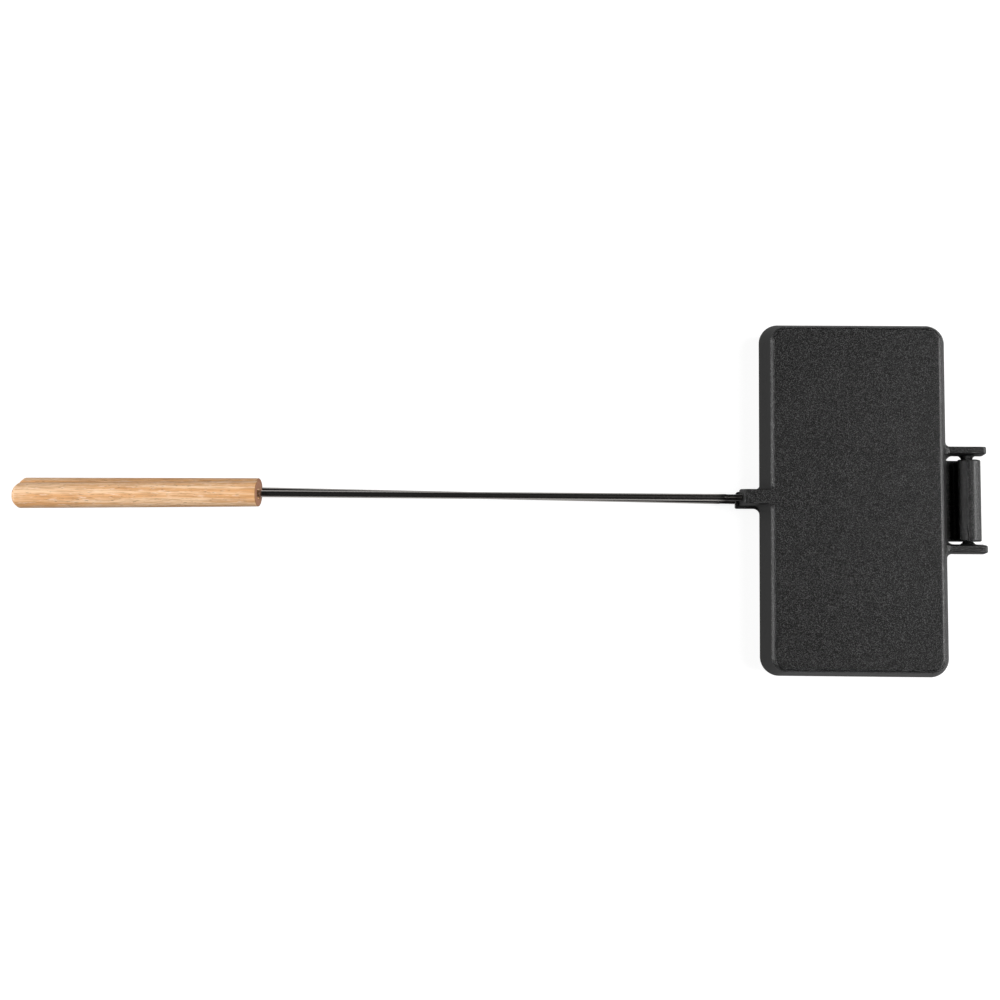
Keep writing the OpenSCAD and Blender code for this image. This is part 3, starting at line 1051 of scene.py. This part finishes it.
@dataclass
class Handle:
    """A turned wooden handle: straight barrel, broken mouth edge, broad bevel at the free end."""

    line: RodLine
    node: str
    start: float
    turn: float
    diameter: float = 18.4
    length: float = 176.0
    bevel_length: float = 3.2
    bevel_depth: float = 2.6
    bevel_round: float = 2.5
    mouth_edge: float = 0.7
    mouth_bore_r: float = 4.0
    mouth_bore_depth: float = 12.0
    rod_bore_r: float = 2.55
    rod_bore_spare: float = 0.5
    bore_margin: tuple[float, float] = (0.1, 1.0)
    round_steps: int = 6
    sides: int = 96

    def tree(self) -> bpy.types.NodeTree:
        """Build the tree that spins the turner's profile round the handle's axis.

        Returns:
            The tree, with named sizes.
        """
        names = ("Radius", "Length", "Bevel length", "Bevel depth", "Bevel round", "Mouth edge",
                 "Mouth bore", "Mouth bore depth", "Rod bore", "Rod bore depth", "Bore turn")
        tree, size = new_tree("turned_handle", {
            **{name: "NodeSocketFloat" for name in names},
            "Sides": "NodeSocketInt", "Wood": "NodeSocketMaterial"})
        bevel_z, bevel_r = [add_node(tree, "ShaderNodeMath", {0: size[whole], 1: size[part]},
                                     operation="SUBTRACT")
                            for whole, part in (("Length", "Bevel length"),
                                                ("Radius", "Bevel depth"))]
        # Corners of the profile: out from the axis, along it, and the radius that rounds each.
        corners = (
            (0.0, size["Rod bore depth"], 0.0),
            (size["Rod bore"], size["Rod bore depth"], 0.0),
            (size["Rod bore"], size["Mouth bore depth"], 0.0),
            (size["Mouth bore"], size["Mouth bore depth"], 0.0),
            (size["Mouth bore"], 0.0, size["Mouth edge"]),
            (size["Radius"], 0.0, size["Mouth edge"]),
            (size["Radius"], bevel_z, size["Bevel round"]),
            (bevel_r, size["Length"], size["Bevel round"]),
            (0.0, size["Length"], 0.0))
        index = add_node(tree, "GeometryNodeInputIndex")
        place, radius = [add_node(tree, "GeometryNodeIndexSwitch", data_type=kind)
                         for kind in ("VECTOR", "FLOAT")]
        for switch in (place, radius):
            while len(switch.index_switch_items) < len(corners):
                switch.index_switch_items.new()
            feed(tree, switch, {"Index": index})
        for step, (out, along, rounding) in enumerate(corners, start=1):
            feed(tree, place, {step: add_node(tree, "ShaderNodeCombineXYZ", {0: out, 1: along})})
            feed(tree, radius, {step: rounding})
        points = add_node(tree, "GeometryNodeMeshLine", {"Count": len(corners)}, mode="OFFSET")
        string = add_node(tree, "GeometryNodeMeshToCurve", {"Mesh": points})
        profile = add_node(tree, "GeometryNodeSetPosition", {"Geometry": string, "Position": place})
        rounded = add_node(tree, "GeometryNodeFilletCurve", {
            "Curve": profile, "Count": self.round_steps, "Radius": radius,
            "Limit Radius": True}, mode="POLY")
        # The circle has radius 1 and carries the profile's height downwards, so both are undone.
        spin = add_node(tree, "GeometryNodeCurvePrimitiveCircle", {
            "Resolution": size["Sides"], "Radius": 1.0})
        here = add_node(tree, "GeometryNodeInputPosition")
        hung = add_node(tree, "ShaderNodeVectorMath", {
            0: here, 1: (1.0, -1.0, 1.0), 2: (-1.0, 0.0, 0.0)}, operation="MULTIPLY_ADD")
        inner = add_node(tree, "GeometryNodeSetPosition", {"Geometry": rounded, "Position": hung})
        swept = add_node(tree, "GeometryNodeCurveToMesh", {"Curve": spin, "Profile Curve": inner})
        # The bore follows the rod, which leaves the handle slightly off the turned axis. What
        # turns lies within a margin of the mouth bore's radius and of the rod bore's depth.
        parts = add_node(tree, "ShaderNodeSeparateXYZ", {0: here})
        flat = add_node(tree, "ShaderNodeCombineXYZ", {
            0: parts.outputs["X"], 1: parts.outputs["Y"]})
        off_axis = add_node(tree, "ShaderNodeVectorMath", {0: flat}, operation="LENGTH")
        wide, deep = [add_node(tree, "ShaderNodeMath", {0: size[edge], 1: margin}, operation="ADD")
                      for edge, margin in zip(("Mouth bore", "Rod bore depth"), self.bore_margin)]
        near, before = [add_node(tree, "FunctionNodeCompare", {0: reach, 1: limit},
                                 data_type="FLOAT", operation="LESS_THAN")
                        for reach, limit in ((off_axis.outputs["Value"], wide),
                                             (parts.outputs["Z"], deep))]
        bore = add_node(tree, "FunctionNodeBooleanMath", {0: near, 1: before}, operation="AND")
        turned = add_node(tree, "ShaderNodeVectorRotate", {
            "Vector": here, "Angle": size["Bore turn"]}, rotation_type="X_AXIS")
        bent = add_node(tree, "GeometryNodeSetPosition", {
            "Geometry": swept, "Selection": bore, "Position": turned})
        finish_tree(tree, bent, size["Wood"])
        return tree

    def build(self, finish: bpy.types.Material) -> bpy.types.Object:
        """Grow the handle and hand it over.

        Args:
            finish: The wood's material.

        Returns:
            The finished piece.
        """
        start = self.start - self.line.lug_reach
        turn = math.radians(self.turn - self.line.turn)
        sizes = {"Radius": self.diameter / 2, "Length": self.length,
                 "Bevel length": self.bevel_length, "Bevel depth": self.bevel_depth,
                 "Bevel round": self.bevel_round, "Mouth edge": self.mouth_edge,
                 "Mouth bore": self.mouth_bore_r, "Mouth bore depth": self.mouth_bore_depth,
                 "Rod bore": self.rod_bore_r,
                 "Rod bore depth": ROD_END - start + self.rod_bore_spare, "Bore turn": -turn,
                 "Sides": self.sides, "Wood": finish}
        place = (self.line.matrix() @ Matrix.Translation((0, 0, start))
                 @ Matrix.Rotation(turn, 4, "X"))
        piece = grow(self.node + "_turning", self.tree(), sizes, place)
        return hand_over(piece, self.line.half, self.node)


# ------------------------------------------------------------------------------ studio

@dataclass(frozen=True)
class SoftBox:
    """A soft box that looks at the middle of the object, as bright as white paper at glow 1."""

    name: str
    place: tuple[float, float, float]
    width: float
    height: float
    glow: float

    def hang(self) -> bpy.types.Object:
        """Hang the lamp.

        Returns:
            The lamp object.
        """
        lamp = bpy.data.lights.new(self.name, "AREA")
        lamp.shape = "RECTANGLE"
        lamp.size, lamp.size_y = self.width, self.height
        lamp.energy = self.glow * math.pi * self.width * self.height
        hung = bpy.data.objects.new(self.name, lamp)
        hung.location = self.place
        hung.rotation_euler = (Vector() - Vector(self.place)).to_track_quat("-Z", "Y").to_euler()
        bpy.context.scene.collection.objects.link(hung)
        return hung


@dataclass
class Studio:
    """Camera, lamps, white floor and world."""

    boxes: tuple[SoftBox, ...] = (SoftBox("left_box", (-2.2, 0.0, 0.85), 1.8, 1.6, 5.2),
                                  SoftBox("right_box", (2.2, 0.0, 0.9), 1.6, 1.8, 2.8),
                                  SoftBox("key_box", (1.416, 0.12, 1.812), 1.15, 1.5, 10.5))
    sensor: float = 36.0
    lens: float = 42.48
    shift: tuple[float, float] = (-0.07765, -0.02792)
    eye: tuple[float, float, float] = (-0.18076, -0.04902, 0.86882)
    tilts: tuple[tuple[str, float], ...] = (("Y", 1.135), ("X", 4.519), ("Z", 0.483))
    zenith: float = 0.015
    horizon: float = 0.06
    ceiling_from: float = 0.7
    paper: str = "#8c8c8c"
    floor_half: float = 4.0
    floor_glow: float = 0.88
    mirrored_glow: float = 0.32

    def camera(self) -> None:
        """Set up the camera, almost straight above the pans."""
        lens = bpy.data.cameras.new("camera")
        lens.sensor_width, lens.lens = self.sensor, self.lens
        lens.shift_x, lens.shift_y = self.shift
        stand = Matrix.Translation(self.eye)
        for axis, degrees in self.tilts:
            stand = stand @ Matrix.Rotation(math.radians(degrees), 4, axis)
        eye = bpy.data.objects.new("camera", lens)
        eye.matrix_world = stand
        bpy.context.scene.collection.objects.link(eye)
        bpy.context.scene.camera = eye

    def world(self) -> None:
        """Light from pale walls under a dark ceiling, and show white behind the object."""
        world = bpy.data.worlds.new("studio")
        world.use_nodes = True
        tree = world.node_tree
        tree.nodes.clear()
        ray = add_node(tree, "ShaderNodeLightPath").outputs
        way = add_node(tree, "ShaderNodeTexCoord").outputs["Generated"]
        height = add_node(tree, "ShaderNodeSeparateXYZ", {0: way}).outputs["Z"]
        dome = add_node(tree, "ShaderNodeMapRange", {
            "Value": height, "From Min": 0.0, "From Max": self.ceiling_from,
            "To Min": self.horizon, "To Max": self.zenith})
        strength = add_node(tree, "ShaderNodeMapRange", {
            "Value": ray["Is Camera Ray"], "To Min": dome, "To Max": 1.0})
        sky = add_node(tree, "ShaderNodeBackground", {
            "Color": (1, 1, 1, 1), "Strength": strength})
        add_node(tree, "ShaderNodeOutputWorld", {"Surface": sky})
        bpy.context.scene.world = world

    def floor(self) -> None:
        """Lay a white paper floor that keeps the object's soft shadow."""
        paper, tree = new_material("white_paper")
        ray = add_node(tree, "ShaderNodeLightPath").outputs
        mirrored = add_node(tree, "ShaderNodeMath", {
            0: ray["Is Glossy Ray"], 1: ray["Is Transmission Ray"]}, operation="MAXIMUM")
        mirrored = add_node(tree, "ShaderNodeMath", {0: mirrored, 1: self.mirrored_glow},
                            operation="MULTIPLY")
        seen = add_node(tree, "ShaderNodeMath", {
            0: ray["Is Camera Ray"], 1: self.floor_glow, 2: mirrored}, operation="MULTIPLY_ADD")
        sheet = add_node(tree, "ShaderNodeBsdfDiffuse", {"Color": linear(self.paper)})
        glow = add_node(tree, "ShaderNodeEmission", {"Color": (1, 1, 1, 1), "Strength": seen})
        both = add_node(tree, "ShaderNodeAddShader", {0: sheet, 1: glow})
        add_node(tree, "ShaderNodeOutputMaterial", {"Surface": both})
        corners = np.array([(x * self.floor_half, y * self.floor_half, 0.0)
                            for x, y in ((-1, -1), (1, -1), (1, 1), (-1, 1))])
        new_piece("floor", corners, np.array([[0, 1, 2, 3]]), paper)

    def build(self) -> None:
        """Set up the whole studio."""
        self.camera()
        self.world()
        self.floor()
        for box in self.boxes:
            box.hang()
        bpy.context.scene.view_settings.view_transform = "Standard"


def main() -> None:
    """Set up the studio and build the iron in it piece by piece."""
    logging.basicConfig(level=logging.INFO, format="%(name)s: %(message)s")
    iron, steel = SeasonedCastIron().material(), DrawnSteel().material()
    wood = TurnedBeech().material()
    Studio().build()
    top_line = RodLine(Half.TOP, lug_reach=14.3, offset=0.0, turn=-0.05)
    bottom_line = RodLine(Half.BOTTOM, lug_reach=17.1, offset=-1.4, turn=-0.82)
    TopPan(top_line).build(iron)
    BottomPan(bottom_line).build(iron)
    Rod(top_line, "top_rod").build(steel)
    Rod(bottom_line, "bottom_rod").build(steel)
    Handle(top_line, "top_handle", start=359.0, turn=0.8).build(wood)
    Handle(bottom_line, "bottom_handle", start=364.3, turn=0.25).build(wood)


if __name__ == "__main__":
    main()
